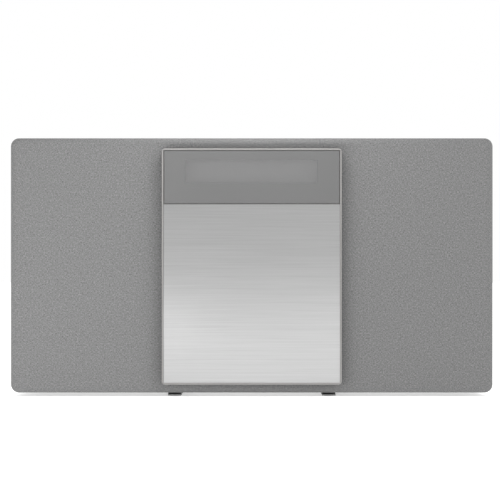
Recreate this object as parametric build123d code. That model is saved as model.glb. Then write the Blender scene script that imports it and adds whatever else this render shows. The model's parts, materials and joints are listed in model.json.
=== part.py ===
from build123d import *
import math
import os

# Slim wall-mountable mini hi-fi: two full-range speakers behind one cloth-covered
# front, and a motor-driven door that slides sideways off an upright disc well.
# Millimetres. +X is the listener's right, +Y runs back, +Z is up. The origin is
# the middle of the footprint, on the table.

os.makedirs("parts", exist_ok=True)

# ---- Overall size ----
body_width = 410.0
body_height = 216.5
body_lift = 3.0
total_depth = 116.0
corner_radius = 7.0
pillow_radius = 5.0
body_mid = body_lift + body_height / 2
body_top = body_lift + body_height

# ---- Planes across the depth, front to back ----
door_front = -total_depth / 2
door_thickness = 6.0
door_back = door_front + door_thickness
door_gap = 3.0
cloth_front = door_back + door_gap
cloth_thickness = 0.8
cloth_back = -31.0
grille_wall = 2.2
grille_rear = -30.2
panel_front = -48.8
panel_rear = -46.2
rim_front = -44.0
baffle_front = -40.0
baffle_rear = -37.0
cabinet_front = -30.0
cabinet_rear = 23.0

# ---- Sliding door ----
door_width = 152.4
door_height = 200.0
door_bottom = 10.4
door_mid = door_bottom + door_height / 2
door_travel = 129.0
door_corner = 2.8
door_pocket = (62.0, 40.0, 2.0)
door_pocket_x = 34.0
door_pocket_z = 51.0
door_pocket_pitch = 45.0
door_rim = 1.3
door_bevel = 0.4
window_bottom = 163.3
window_thickness = 2.2
window_set_back = 0.2
trim_thickness = 1.0
trim_set_back = 0.4
edge_gap = 0.2
window_gap = 0.7
window_opening = (-60.0, 60.0, 178.5, 203.2)
door_screw_seat = door_back - 2.1
door_screw_offsets = (4.0, 12.0)
door_screw_rows = (17.5, 205.8)
door_screw_length = 9.0

# ---- Fixed panel behind the door ----
panel_half_width = 73.0
panel_bottom = 12.3
panel_top = 209.2
opening_gap = 0.3
lcd_view_width = 113.6
lcd_view_bottom = 180.2
lcd_view_top = 201.5
lcd_view_x = -0.4
lcd_thickness = 2.8
lcd_half = 60.0
lcd_bottom = 177.5
lcd_top = 203.4
display_board_half = 63.0
display_board_bottom = 172.0
lower_slot = (15.0, 20.0)
upper_slot = (203.8, 207.8)
slot_left = -72.0

# ---- Disc well and disc drive ----
disc_x = -9.0
disc_z = 97.0
well_radius = 61.5
well_wall = 1.5
well_floor_front = -43.0
well_floor_rear = -41.5
turntable_radius = 14.5
turntable_face = -45.0
spindle_radius = 1.0
running_gap = 0.06
traverse_front = -36.4
traverse_rear = -35.0
rod_radius = 1.5
sled_rod_y = -31.6
sled_rod_offset = 22.0
lens_start = 23.0
sled_module = 0.8
sled_rack_pitch_z = 125.0
sled_gear_x = 24.0

# ---- Door drive ----
rack_module = 1.0
wheel_module = 0.8
rack_pinion_teeth = 18
wheel_teeth = 36
small_gear_teeth = 16
rack_pitch_z = 25.0
drive_gear_x = 58.0
drive_gear_z = rack_pitch_z + rack_module * rack_pinion_teeth / 2
pulley_angle = 60.0
rail_y = -33.5
lower_rail_z = 15.0
upper_rail_z = 204.0
rail_left = -78.0
lower_rail_right = 199.5
upper_rail_right = 142.0
carriage_left = slot_left
sleeve_length = 16.0
sleeve_half = 3.0
slider_front = rail_y - 2.8
slider_back = rail_y + 0.2
upper_carriage_length = 80.0
upper_slider = (198.5, 201.5)
lower_slider_bottom = 18.0
lower_arm = (15.5, 19.5)
upper_arm = (204.3, 207.3)
arm_left = carriage_left + 1.0
arm_width = 14.0
slot_right = arm_left + arm_width + door_travel + 0.8
pulley_groove = 11.0
motor_groove = 4.0
belt_size = 1.2
belt_gap = 0.15
motor_spacing = 40.0
pressure_angle = math.radians(20)
backlash = 0.16
addendum = 0.85
dedendum = 1.2

# ---- Speakers ----
speaker_x = 140.0
speaker_z = 114.0
flange_radius = 42.0
cutout_radius = 37.0
speaker_screw_radius = 39.6
tub_half = 47.0
spider_inner = 11.3
spider_roll = 22.2
spider_outer = 24.4
spider_seat = -23.6
spider_wave = 0.55
spider_thickness = 0.4
spider_steps = 24
tub_rear = 1.0

# ---- Rear cabinet ----
cabinet_width = 407.0
cabinet_height = 213.5
cabinet_wall = 2.5
cabinet_corner = 5.5
cabinet_edge = 4.5
cabinet_top = body_mid + cabinet_height / 2
cabinet_bosses = [(sx * x, z) for sx in (-1, 1) for x, z in ((194, 195), (194, 42), (92, 182))]
wall_hole_x = 100.0
wall_hole_z = 198.0
wall_hole_radius = 1.7
boss_radius = 4.2
boss_front = cabinet_front + 1.0
screw_well = 10.0
long_boss_radius = 4.5
key_opening_bottom = 214.0
vent_rows = (66.0, 150.0)
vent_count = 21
vent_pitch = 6.0
vent_size = (2.2, 24.0, 1.0)

# ---- Keys along the top ----
key_names = ["power", "source", "pairing", "volume_down", "volume_up",
             "previous", "next", "play_stop", "open_close"]
key_pitch = 20.0
key_length = 15.0
key_depth = 8.0
key_y = -14.0
key_gap = 0.3
key_top = cabinet_top + 0.8
key_bottom = 214.8
key_flange = (213.4, 215.1)
key_flange_rim = 1.0
key_stem_half = 1.5
switch_half = 3.0
switch_top = 208.8
switch_button_half = 1.6
switch_button_top = 210.5
key_stem_bottom = switch_button_top + 0.8
key_board_bottom = 203.6
key_board_top = 205.2
key_board_half = 8.0
key_board_end = 7.0

# ---- Boards ----
board_thickness = 1.6
board_front = 10.0
board_half = 84.0
board_bottom = 36.0
board_top = 190.0
chips = [(0, 120, 24, 24, 2.4), (-30, 150, 14, 20, 2.0), (34, 150, 18, 12, 6.0), (62, 120, 10, 26, 5.0)]
capacitors = [(-20, 60, 8, 20), (0, 60, 8, 20), (-24, 90, 5, 12), (-10, 90, 5, 12)]
core_left = -76.0
core_right = -40.0
core_bottom = 54.0
core_top = 84.0
core_depth = 20.0
core_wall = 4.0
sink_left = 24.0
sink_right = 72.0
sink_bottom = 52.0
sink_top = 84.0
sink_base = 4.0
sink_depth = 18.0
fin_count = 8
fin_thickness = 2.0

# ---- Sockets ----
inlet_x = 104.0
inlet_z = 32.0
inlet_front = 4.0
inlet_floor = 8.0
inlet_size = (22.0, 12.0, 1.8)
inlet_flange = (25.0, 15.0, 1.5)
inlet_flange_thickness = 3.0
inlet_pin_x = 4.3
inlet_pin_radius = 1.2
inlet_lobe_radius = 4.2
inlet_waist = 7.2
antenna_x = 76.0
antenna_z = 50.0
antenna_radius = 5.0
antenna_floor = 14.0
antenna_pin_radius = 1.2
side_y = -6.0
usb_z = 26.0
usb_depth = 14.0
usb_wall = 0.5
usb_half_width = 6.6
usb_half_height = 3.1
usb_tongue_half = 5.2
usb_tongue = (usb_z - 0.2, usb_z + 1.6)
headphone_z = 57.0
headphone_bore = 1.8

# ---- Stand ----
leg_x = 65.7
leg_width = 11.7
leg_front = -45.0
stand_rear = total_depth / 2
stand_bottom = 0.4
toe_top = 1.4
stand_plate = 3.0
stand_screw_z = 24.0
stand_bridge = (14.0, 34.0)
heel_height = 2.2
leg_clearance = 2.8
pad_radius = 4.5
pad_recess = 0.4
pad_inset = 8.0

# ---- Screws ----
small_screw = 1.25
small_head = 2.5
head_height = 1.4
big_screw = 1.5
big_head = 2.9


STANDING = (Align.CENTER, Align.CENTER, Align.MIN)


# ---------------------------------------------------------------- shape helpers
def box(x0, x1, y0, y1, z0, z1):
    """A block between two opposite corners."""
    return Pos(x0, y0, z0) * Box(x1 - x0, y1 - y0, z1 - z0, align=Align.MIN)


def slab(outline, y0, y1):
    """An upright outline (across, up) given thickness from y0 back to y1."""
    return extrude(Plane.XZ.offset(-y1) * outline, amount=y1 - y0)


def panel(width, height, radius, x, z, y0, y1):
    """An upright plate with rounded corners, centred on (x, z)."""
    return slab(Pos(x, z) * RectangleRounded(width, height, radius), y0, y1)


def rod_y(x, z, radius, y0, y1):
    """A round bar running front to back."""
    return slab(Pos(x, z) * Circle(radius), y0, y1)


def tube_y(x, z, outer, inner, y0, y1):
    """A round tube running front to back."""
    return slab(Pos(x, z) * (Circle(outer) - Circle(inner)), y0, y1)


def rod_x(y, z, radius, x0, x1):
    """A round bar running left to right."""
    return Pos(x0, y, z) * extrude(Plane.YZ * Circle(radius), amount=x1 - x0)


def spun(x, z, profile):
    """A body turned about a front-to-back axis from (radius, y) corners."""
    return Pos(x, 0, z) * revolve(Polygon(*profile, align=None), axis=Axis.Y)


def on_circle(x, z, radius, degrees):
    """The point at an angle on an upright circle."""
    angle = math.radians(degrees)
    return x + radius * math.cos(angle), z + radius * math.sin(angle)


def save(name, *shapes):
    """Write one named node."""
    solids = [solid for shape in shapes for solid in shape.solids()]
    export_step(Compound(solids), f"parts/{name}.step")


def screw(x, z, y_seat, length, radius, head, towards=1):
    """A pan-head screw whose head sits on y_seat and whose shank runs towards +Y or -Y."""
    y_tip = y_seat + towards * length
    y_head = y_seat - towards * head_height
    shank = rod_y(x, z, radius, min(y_seat, y_tip), max(y_seat, y_tip))
    cap = rod_y(x, z, head, min(y_seat, y_head), max(y_seat, y_head))
    cross = box(x - head * 0.6, x + head * 0.6, min(y_head, y_head + towards * 0.7),
                max(y_head, y_head + towards * 0.7), z - 0.3, z + 0.3)
    return shank + cap - cross - Pos(x, 0, z) * Rot(0, 90, 0) * Pos(-x, 0, -z) * cross


# ---------------------------------------------------------------- gear teeth
def involute(angle):
    return math.tan(angle) - angle


def tooth_flank(module, teeth, radius):
    """Half the angle of a tooth at a radius, measured from its middle."""
    pitch_radius = module * teeth / 2
    base_radius = pitch_radius * math.cos(pressure_angle)
    half_pitch = (math.pi * module / 2 - backlash) / 2 / pitch_radius
    lean = math.acos(min(1.0, base_radius / radius))
    return half_pitch + involute(pressure_angle) - involute(lean)


def gear_outline(module, teeth, phase):
    """A spur gear with one tooth pointing at the phase angle, in degrees."""
    pitch_radius = module * teeth / 2
    base_radius = pitch_radius * math.cos(pressure_angle)
    root = pitch_radius - dedendum * module
    tip = pitch_radius + addendum * module
    start = max(base_radius, root) + 0.01
    radii = [start + (tip - start) * step / 3 for step in range(4)]
    half_angles = [tooth_flank(module, teeth, radius) for radius in radii]
    points = []
    for tooth in range(teeth):
        middle = math.radians(phase + 360 * tooth / teeth)
        rising = [(root, -half_angles[0])] + [(r, -a) for r, a in zip(radii, half_angles)]
        falling = [(r, -a) for r, a in reversed(rising)]
        for radius, angle in rising + falling:
            points.append((radius * math.cos(middle + angle), radius * math.sin(middle + angle)))
    return Polygon(*points, align=None)


def rack_teeth(module, pitch_z, gap_x, x0, x1, y0, y1):
    """Upward rack teeth between x0 and x1, with a gap centred on gap_x."""
    pitch = math.pi * module
    slope = math.tan(pressure_angle)
    half = (pitch / 2 - backlash) / 2
    top = addendum * module
    bottom = dedendum * module
    first = math.ceil((x0 - gap_x) / pitch)
    last = math.floor((x1 - gap_x) / pitch)
    outline = Sketch()
    for index in range(first, last):
        middle = gap_x + (index + 0.5) * pitch
        outline += Polygon((middle - half - bottom * slope, pitch_z - bottom - 0.2),
                           (middle + half + bottom * slope, pitch_z - bottom - 0.2),
                           (middle + half + bottom * slope, pitch_z - bottom),
                           (middle + half - top * slope, pitch_z + top),
                           (middle - half + top * slope, pitch_z + top),
                           (middle - half - bottom * slope, pitch_z - bottom), align=None)
    return slab(outline, y0, y1)


# ---------------------------------------------------------------- front covering
def grille_form(inset, rear):
    """The soft-edged front form of the body, shrunk all round by an inset."""
    form = panel(body_width - 2 * inset, body_height - 2 * inset, corner_radius - inset,
                 0, body_mid, cloth_front + inset, rear)
    return fillet(form.faces().sort_by(Axis.Y)[0].edges(), pillow_radius - inset)


def centre_opening():
    half = panel_half_width + opening_gap
    return box(-half, half, cloth_front - 1, baffle_front,
               panel_bottom - opening_gap, panel_top + opening_gap)


def grille_cloth():
    skin = grille_form(0, cloth_back) - grille_form(cloth_thickness, grille_rear)
    return skin - centre_opening()


def grille_frame():
    """Stiff frame under the cloth: ribbed windows in front of each speaker."""
    inset = cloth_thickness + grille_wall
    frame = grille_form(cloth_thickness, grille_rear) - grille_form(inset, cabinet_front)
    frame -= centre_opening()
    windows = Sketch()
    for side in (-1, 1):
        for spot in GridLocations(36, 12, 3, 9):
            windows += Pos(side * speaker_x, speaker_z) * spot * RectangleRounded(32, 8, 2)
    return frame - slab(windows, cloth_front, panel_rear + 1)


# ---------------------------------------------------------------- front chassis
def pulley_centre():
    distance = wheel_module * (wheel_teeth + small_gear_teeth) / 2
    return on_circle(drive_gear_x, drive_gear_z, distance, pulley_angle)


def door_motor_centre():
    x, z = pulley_centre()
    return x + motor_spacing, z


def sled_gear_centre():
    return sled_gear_x, sled_rack_pitch_z + sled_module * small_gear_teeth / 2


def sled_motor_centre():
    x, z = sled_gear_centre()
    return x, z + sled_module * (wheel_teeth + small_gear_teeth) / 2


def damper_points():
    return [(-50, 66), (62, 66), (-50, 158), (62, 158)]


def rail_holders():
    """Blocks on the back of the baffle that grip both ends of each door rail."""
    holders = []
    for z, right in ((lower_rail_z, lower_rail_right), (upper_rail_z, upper_rail_right)):
        for x in (rail_left, right - 4):
            block = box(x, x + 4, baffle_rear, rail_y + 3, z - 3.5, z + 3.5)
            holders.append(block - rod_x(rail_y, z, rod_radius, x, x + 4))
    return holders


def front_chassis():
    width = body_width - 2 * (cloth_thickness + grille_wall + opening_gap)
    height = body_height - 2 * (cloth_thickness + grille_wall + opening_gap)
    rim = panel(width, height, 3.7, 0, body_mid, rim_front, grille_rear)
    rim -= panel(width - 4, height - 4, 2.0, 0, body_mid, rim_front, grille_rear)
    plate = panel(width, height, 3.7, 0, body_mid, baffle_front, baffle_rear)
    chassis = rim + plate
    for holder in rail_holders():
        chassis += holder
    for x, z in cabinet_bosses:
        chassis += rod_y(x, z, 4.0, baffle_rear, -29.2)
        chassis -= rod_y(x, z, big_screw, baffle_rear + 1, -29.2)
    for x, z in damper_points():
        chassis += rod_y(x, z, 2.4, baffle_rear, -31.5)
        chassis -= rod_y(x, z, small_screw, baffle_rear + 1, -31.5)
    for side in (-1, 1):
        chassis -= rod_y(side * speaker_x, speaker_z, cutout_radius, baffle_front, baffle_rear)
        for turn in range(4):
            x, z = on_circle(side * speaker_x, speaker_z, speaker_screw_radius, 45 + 90 * turn)
            chassis -= rod_y(x, z, small_screw, baffle_front, baffle_rear)
    chassis -= panel(96, 60, 3, disc_x + 30, disc_z, baffle_front, baffle_rear)
    chassis -= box(slot_left, slot_right + 1, baffle_front, baffle_rear,
                   lower_slot[0] - 0.5, lower_slot[1] + 0.5)
    chassis -= box(slot_left, slot_right + 1, baffle_front, baffle_rear,
                   upper_slot[0] - 0.5, upper_slot[1] + 0.5)
    motor_x, motor_z = door_motor_centre()
    chassis -= rod_y(motor_x, motor_z, 12.0, baffle_front, baffle_rear)
    for x, z in ((drive_gear_x, drive_gear_z), pulley_centre()):
        chassis -= rod_y(x, z, rod_radius, baffle_front, baffle_rear)
    return chassis


def panel_posts():
    return [(-68, 28), (68, 28), (-68, 170), (68, 170)]


def centre_panel():
    """Gloss black panel that the door slides over, with its slots, window and well mouth."""
    width = 2 * panel_half_width
    height = panel_top - panel_bottom
    middle = (panel_top + panel_bottom) / 2
    plate = panel(width, height, 1.5, 0, middle, panel_front, panel_rear)
    plate -= rod_y(disc_x, disc_z, well_radius + well_wall + 0.1, panel_front, panel_rear)
    view_height = lcd_view_top - lcd_view_bottom
    view_middle = (lcd_view_top + lcd_view_bottom) / 2
    plate -= panel(lcd_view_width, view_height, 0.8, lcd_view_x, view_middle, panel_front, panel_rear)
    for low, high in (lower_slot, upper_slot):
        plate -= panel(slot_right - slot_left, high - low, 1.0, (slot_left + slot_right) / 2,
                       (low + high) / 2, panel_front, panel_rear)
    for x, z in panel_posts():
        plate += rod_y(x, z, 3.0, panel_rear, baffle_front)
    return plate


def disc_well():
    """Shallow round dish for the disc, open in the middle for turntable and lens."""
    outer = well_radius + well_wall
    dish = tube_y(disc_x, disc_z, outer, well_radius, panel_front, well_floor_rear)
    dish += rod_y(disc_x, disc_z, outer, well_floor_front, well_floor_rear)
    dish -= rod_y(disc_x, disc_z, turntable_radius + 1.5, well_floor_front, well_floor_rear)
    dish -= panel(60, 28, 4, disc_x + 31, disc_z, well_floor_front, well_floor_rear)
    for degrees in (90, 200, 290):
        x, z = on_circle(disc_x, disc_z, 50, degrees)
        dish += rod_y(x, z, 4.0, well_floor_rear, baffle_front)
    return dish


# ---------------------------------------------------------------- display
def display_lcd():
    """Liquid-crystal panel behind the window in the black panel."""
    return box(-lcd_half, lcd_half, panel_rear, panel_rear + lcd_thickness, lcd_bottom, lcd_top)


def display_board():
    """Board behind the display, on four pegs."""
    front = panel_rear + lcd_thickness
    rear = front + board_thickness
    board = box(-display_board_half, display_board_half, front, rear, display_board_bottom, lcd_top)
    for side in (-1, 1):
        for z in (display_board_bottom + 3, lcd_top - 3.4):
            board += rod_y(side * (display_board_half - 3), z, 2.0, rear, baffle_front)
    return board


# ---------------------------------------------------------------- sliding door
def door_frame():
    """Moulded tray: bevelled rim, ledges for the trim and window, ribs behind."""
    frame = panel(door_width, door_height, door_corner, 0, door_mid, door_front, door_back)
    frame = chamfer(frame.faces().sort_by(Axis.Y)[0].edges(), door_bevel)
    inner = door_width / 2 - door_rim
    low = door_bottom + door_rim
    high = door_bottom + door_height - door_rim
    window_floor = door_front + window_set_back + window_thickness
    trim_floor = door_front + trim_set_back + trim_thickness
    frame -= box(-inner, inner, door_front, trim_floor, low, window_bottom)
    frame -= box(-inner, inner, door_front, window_floor, window_bottom, high)
    left, right, bottom, top = window_opening
    frame -= box(left, right, window_floor, door_back, bottom, top)
    width, height, depth = door_pocket
    for side in (-1, 1):
        for row in range(3):
            middle = door_pocket_z + row * door_pocket_pitch
            frame -= panel(width, height, 3, side * door_pocket_x, middle,
                           door_back - depth, door_back)
    for x, z in door_screw_points():
        frame -= rod_y(x, z, small_screw, trim_floor, door_back)
        frame -= rod_y(x, z, small_head + 0.2, trim_floor, door_screw_seat)
    return frame


def door_screw_points():
    return [(carriage_left + offset, z) for z in door_screw_rows for offset in door_screw_offsets]


def door_window():
    """Smoked acrylic plate, with a shadow gap to the rim and to the plate below."""
    inner = door_width / 2 - door_rim - window_gap
    high = door_bottom + door_height - door_rim - window_gap
    front = door_front + window_set_back
    return box(-inner, inner, front, front + window_thickness, window_bottom + window_gap, high)


def door_trim_plate():
    """Thin aluminium sheet let into the door below the window."""
    inner = door_width / 2 - door_rim - edge_gap
    low = door_bottom + door_rim + edge_gap
    front = door_front + trim_set_back
    return box(-inner, inner, front, front + trim_thickness, low, window_bottom - edge_gap)


def door_screws():
    return [screw(x, z, door_screw_seat, door_screw_length, small_screw, small_head)
            for x, z in door_screw_points()]


def sleeve(x0, z):
    """Bearing block that runs on a rail."""
    x1 = x0 + sleeve_length
    block = box(x0, x1, rail_y - sleeve_half, rail_y + sleeve_half, z - sleeve_half, z + sleeve_half)
    return block - rod_x(rail_y, z, rod_radius + running_gap, x0, x1)


def carriage_arm(z0, z1):
    """Arm through the slot to the back of the door."""
    return box(arm_left, arm_left + arm_width, door_back, rail_y - sleeve_half, z0, z1)


def carriage(right, rail_z, slider_z, arm_z, screws):
    """Bar with a bearing block at each end and an arm that carries the door."""
    slider = box(carriage_left, right, slider_front, slider_back, *slider_z)
    slider += sleeve(carriage_left, rail_z) + sleeve(right - sleeve_length, rail_z)
    slider += carriage_arm(*arm_z)
    for x, z in screws:
        slider -= rod_y(x, z, small_screw, door_back, door_back + door_screw_length + 1)
    return slider


def lower_carriage():
    """Long slider on the lower rail, with the rack that the motor drives."""
    right = drive_gear_x + 8
    slider = carriage(right, lower_rail_z, (lower_slider_bottom, rack_pitch_z - dedendum),
                      lower_arm, door_screw_points()[:2])
    return slider + rack_teeth(rack_module, rack_pitch_z, drive_gear_x, carriage_left, right,
                               slider_front, slider_back)


def upper_carriage():
    """Slider on the upper rail that keeps the door upright."""
    return carriage(carriage_left + upper_carriage_length, upper_rail_z, upper_slider,
                    upper_arm, door_screw_points()[2:])


def door_rails():
    lower = rod_x(rail_y, lower_rail_z, rod_radius, rail_left, lower_rail_right)
    upper = rod_x(rail_y, upper_rail_z, rod_radius, rail_left, upper_rail_right)
    return [lower, upper]


# ---------------------------------------------------------------- door drive
def geared_wheel(x, z, bore, layers):
    """A moulded wheel from gear or disc layers, (outline, y0, y1), on one bore."""
    wheel = Part()
    for outline, y0, y1 in layers:
        wheel += slab(Pos(x, z) * outline, y0, y1)
    return wheel - rod_y(x, z, bore, layers[0][1], layers[-1][2])


def door_drive_gear():
    bore = rod_radius + running_gap
    layers = [(gear_outline(rack_module, rack_pinion_teeth, -90), -36.3, -33.3),
              (Circle(5.0), -33.3, -32.6),
              (gear_outline(wheel_module, wheel_teeth, pulley_angle), -32.6, -29.6)]
    return geared_wheel(drive_gear_x, drive_gear_z, bore, layers)


def door_pulley_gear():
    x, z = pulley_centre()
    phase = pulley_angle + 180 + 180 / small_gear_teeth
    layers = [(gear_outline(wheel_module, small_gear_teeth, phase), -32.8, -29.4),
              (Circle(pulley_groove + 1.3), -29.4, -28.6),
              (Circle(pulley_groove), -28.6, -26.6),
              (Circle(pulley_groove + 1.3), -26.6, -25.8)]
    return geared_wheel(x, z, rod_radius + running_gap, layers)


def door_motor_pulley():
    """Brass pulley on the motor shaft."""
    x, z = door_motor_centre()
    pulley = rod_y(x, z, motor_groove + 1.2, -29.2, -28.6)
    pulley += rod_y(x, z, motor_groove, -28.6, -26.6)
    pulley += rod_y(x, z, motor_groove + 1.2, -26.6, -26.0)
    return pulley + rod_y(x, z, spindle_radius, -36.0, -25.4)


def flat_motor(x, z, y0, y1, shaft_y0, shaft_y1):
    """A flat can motor with a bearing hole for its shaft."""
    can = rod_y(x, z, 11.8, y0, y1)
    can = fillet(can.edges().filter_by(GeomType.CIRCLE), 1.0)
    can += rod_y(x, z, 3.0, y0 - 0.8, y0) + rod_y(x, z, 3.0, y1, y1 + 0.6)
    return can - rod_y(x, z, spindle_radius + running_gap, shaft_y0, shaft_y1)


def door_motor():
    x, z = door_motor_centre()
    return flat_motor(x, z, -44.5, -30.5, -37.0, -29.9)


def door_belt():
    """Square rubber belt round both pulleys."""
    x, z = pulley_centre()
    inner = belt_gap
    outer = belt_gap + belt_size
    loops = []
    for grow in (outer, inner):
        big = Circle(pulley_groove + grow)
        small = Pos(motor_spacing, 0) * Circle(motor_groove + grow)
        loops.append(make_hull((big + small).edges()))
    return slab(Pos(x, z) * (loops[0] - loops[1]), -28.6 + 0.4, -26.6 - 0.4)


def gear_posts():
    """Steel pins that the moulded gears turn on."""
    posts = [rod_y(drive_gear_x, drive_gear_z, rod_radius, baffle_front, -28.8)]
    x, z = pulley_centre()
    posts.append(rod_y(x, z, rod_radius, baffle_front, -25.0))
    x, z = sled_gear_centre()
    posts.append(rod_y(x, z, rod_radius, traverse_front, -25.0))
    return posts


# ---------------------------------------------------------------- disc drive
def traverse_chassis():
    """Pressed plate that carries spindle, pickup and feed gears on soft bushes."""
    plate = panel(128, 108, 4, 6, 112, traverse_front, traverse_rear)
    for x, z in damper_points():
        plate -= rod_y(x, z, 3.4, traverse_front, traverse_rear)
    plate -= rod_y(disc_x, disc_z, 4.0, traverse_front, traverse_rear)
    plate -= panel(62, 34, 2, 33, disc_z, traverse_front, traverse_rear)
    for side in (-1, 1):
        z = disc_z + side * sled_rod_offset
        for x0 in (-8, 65):
            holder = box(x0, x0 + 4, traverse_rear, -29.0, z - 2.6, z + 2.6)
            plate += holder - rod_x(sled_rod_y, z, rod_radius, x0, x0 + 4)
    x, z = sled_gear_centre()
    plate -= rod_y(x, z, rod_radius, traverse_front, traverse_rear)
    x, z = sled_motor_centre()
    plate -= rod_y(x, z, 3.3, traverse_front, traverse_rear)
    return plate


def damper_bushes():
    """Rubber grommets, waisted where they grip the plate."""
    bushes = []
    for x, z in damper_points():
        bush = tube_y(x, z, 5.0, 2.4, baffle_rear, traverse_front)
        bush += tube_y(x, z, 3.4, 2.4, traverse_front, traverse_rear)
        bushes.append(bush + tube_y(x, z, 5.0, 2.4, traverse_rear, -32.0))
    return bushes


def turntable():
    """Disc platter with a snap hub, on the spindle shaft."""
    platter = spun(disc_x, disc_z, [(0, -48.6), (5.6, -48.6), (7.4, -47.2), (7.4, turntable_face),
                                    (turntable_radius, turntable_face), (turntable_radius, -43.6),
                                    (5.0, -43.2), (4.0, -39.0), (0, -39.0)])
    for degrees in (90, 210, 330):
        x, z = on_circle(disc_x, disc_z, 7.0, degrees)
        platter += Pos(x, -46.6, z) * Sphere(0.9)
    return platter + rod_y(disc_x, disc_z, spindle_radius, -39.0, -28.6)


def spindle_motor():
    can = rod_y(disc_x, disc_z, 10.5, traverse_rear, -26.0)
    return can - rod_y(disc_x, disc_z, spindle_radius + running_gap, traverse_rear, -28.0)


def lens_centre():
    return disc_x + lens_start


def pickup_sled():
    """Laser pickup carrier: body on two rods, lens turret in front, rack on top."""
    x = lens_centre()
    body = box(x - 9, x + 15, -34.6, -28.6, disc_z - 25.5, disc_z + 25.5)
    for side in (-1, 1):
        z = disc_z + side * sled_rod_offset
        body -= rod_x(sled_rod_y, z, rod_radius + running_gap, x - 9, x + 15)
    body += box(x - 7, x + 9, -41.2, -34.6, disc_z - 11, disc_z + 11)
    body -= rod_y(x, disc_z, 4.2, -41.2, -39.2)
    body += rod_y(x, disc_z, 2.6, -40.2, -39.2)
    left = sled_gear_x - 39
    root = sled_rack_pitch_z - dedendum * sled_module
    body += box(left, sled_gear_x + 6, -34.6, -31.0, 122.0, root)
    return body + rack_teeth(sled_module, sled_rack_pitch_z, sled_gear_x, left,
                             sled_gear_x + 6, -34.6, -31.0)


def objective_lens():
    """Small lens in its ring."""
    dome = spun(lens_centre(), disc_z, [(0, -42.6), (1.2, -42.5), (2.2, -42.2), (2.2, -41.8),
                                        (3.4, -41.8), (3.4, -40.6), (2.2, -40.6), (2.0, -40.2),
                                        (0, -40.2)])
    return dome


def sled_rods():
    return [rod_x(sled_rod_y, disc_z + side * sled_rod_offset, rod_radius, -8, 69)
            for side in (-1, 1)]


def sled_gear():
    x, z = sled_gear_centre()
    layers = [(gear_outline(sled_module, small_gear_teeth, -90), -34.6, -31.0),
              (Circle(5.0), -31.0, -28.2),
              (gear_outline(sled_module, wheel_teeth, 90), -28.2, -25.8)]
    return geared_wheel(x, z, rod_radius + running_gap, layers)


def sled_motor():
    x, z = sled_motor_centre()
    can = rod_y(x, z, 9.0, traverse_rear, -29.4)
    return can - rod_y(x, z, spindle_radius + running_gap, traverse_rear, -29.4)


def sled_motor_pinion():
    x, z = sled_motor_centre()
    phase = 270 + 180 / small_gear_teeth
    pinion = slab(Pos(x, z) * gear_outline(sled_module, small_gear_teeth, phase), -28.6, -25.6)
    return pinion + rod_y(x, z, spindle_radius, -34.6, -28.6)


# ---------------------------------------------------------------- speakers
def speaker_basket(x):
    """Pressed frame with four windows and a round flange."""
    bowl = spun(x, speaker_z, [(34.6, -42.0), (flange_radius, -42.0), (flange_radius, baffle_front),
                               (36.4, baffle_front), (36.4, -36.0), (25.0, -17.0), (14.0, -17.0),
                               (14.0, -18.2), (23.6, -18.2), (26.6, -23.6), (22.4, -23.6),
                               (22.4, -24.6), (27.4, -24.6), (34.6, -36.4)])
    for turn in range(4):
        window = box(-9, 9, -35, -26, 20, 45)
        bowl -= Pos(x, 0, speaker_z) * Rot(0, 90 * turn, 0) * window
        hole_x, hole_z = on_circle(x, speaker_z, speaker_screw_radius, 45 + 90 * turn)
        bowl -= rod_y(hole_x, hole_z, small_screw, -42.0, baffle_front)
    return bowl


def speaker_magnet(x):
    """Top plate, ferrite ring and yoke with its pole."""
    top_plate = tube_y(x, speaker_z, 25.0, 11.6, -17.0, -14.0)
    ferrite = tube_y(x, speaker_z, 28.0, 14.0, -14.0, -6.0)
    yoke = rod_y(x, speaker_z, 25.0, -6.0, -3.0) + rod_y(x, speaker_z, 9.8, -17.0, -6.0)
    return [top_plate, ferrite, yoke]


def speaker_surround(x):
    """Half-roll rubber edge, glued to the flange."""
    roll = Pos(32.4, -41.9) * (Circle(1.9) - Circle(1.4))
    roll -= Pos(32.4, -41.9 + 5) * Rectangle(10, 10)
    lips = Polygon((30.5, -41.9), (31.0, -41.9), (31.0, -41.3), (30.5, -41.3), align=None)
    lips += Polygon((33.8, -42.5), (36.5, -42.5), (36.5, -42.0), (33.8, -42.0), align=None)
    return Pos(x, 0, speaker_z) * revolve(roll + lips, axis=Axis.Y)


def speaker_spider(x):
    """Corrugated cloth disc that centres the voice coil, glued to the basket's shelf."""
    front = []
    for step in range(spider_steps + 1):
        radius = spider_inner + (spider_roll - spider_inner) * step / spider_steps
        wave = (1 - math.cos(step * math.pi / 2)) * spider_wave
        front.append((radius, spider_seat + wave))
    front.append((spider_outer, spider_seat))
    back = [(radius, y + spider_thickness) for radius, y in reversed(front)]
    return spun(x, speaker_z, front + back)


def speaker_cone(x):
    """Paper cone, dust cap, former and voice coil, which move together."""
    cone = spun(x, speaker_z, [(30.1, -41.6), (30.1, -41.1), (10.9, -27.0), (10.9, -13.6),
                               (10.3, -13.6), (10.3, -28.0), (12.4, -29.4), (28.9, -41.6)])
    cap = spun(x, speaker_z, [(0, -33.6), (4.0, -33.2), (8.0, -32.0), (12.4, -29.4),
                              (12.0, -28.9), (8.0, -31.4), (4.0, -32.6), (0, -33.0)])
    return cone + cap


def speaker_tub(x):
    """Sealed box behind each driver."""
    outer = panel(2 * tub_half, 2 * tub_half, 6, x, speaker_z, baffle_rear, tub_rear)
    inner = panel(2 * tub_half - 4, 2 * tub_half - 4, 4, x, speaker_z, baffle_rear, tub_rear - 2)
    return outer - inner


# ---------------------------------------------------------------- keys
def key_centres():
    first = -key_pitch * (len(key_names) - 1) / 2
    return [(name, first + key_pitch * index) for index, name in enumerate(key_names)]


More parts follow.
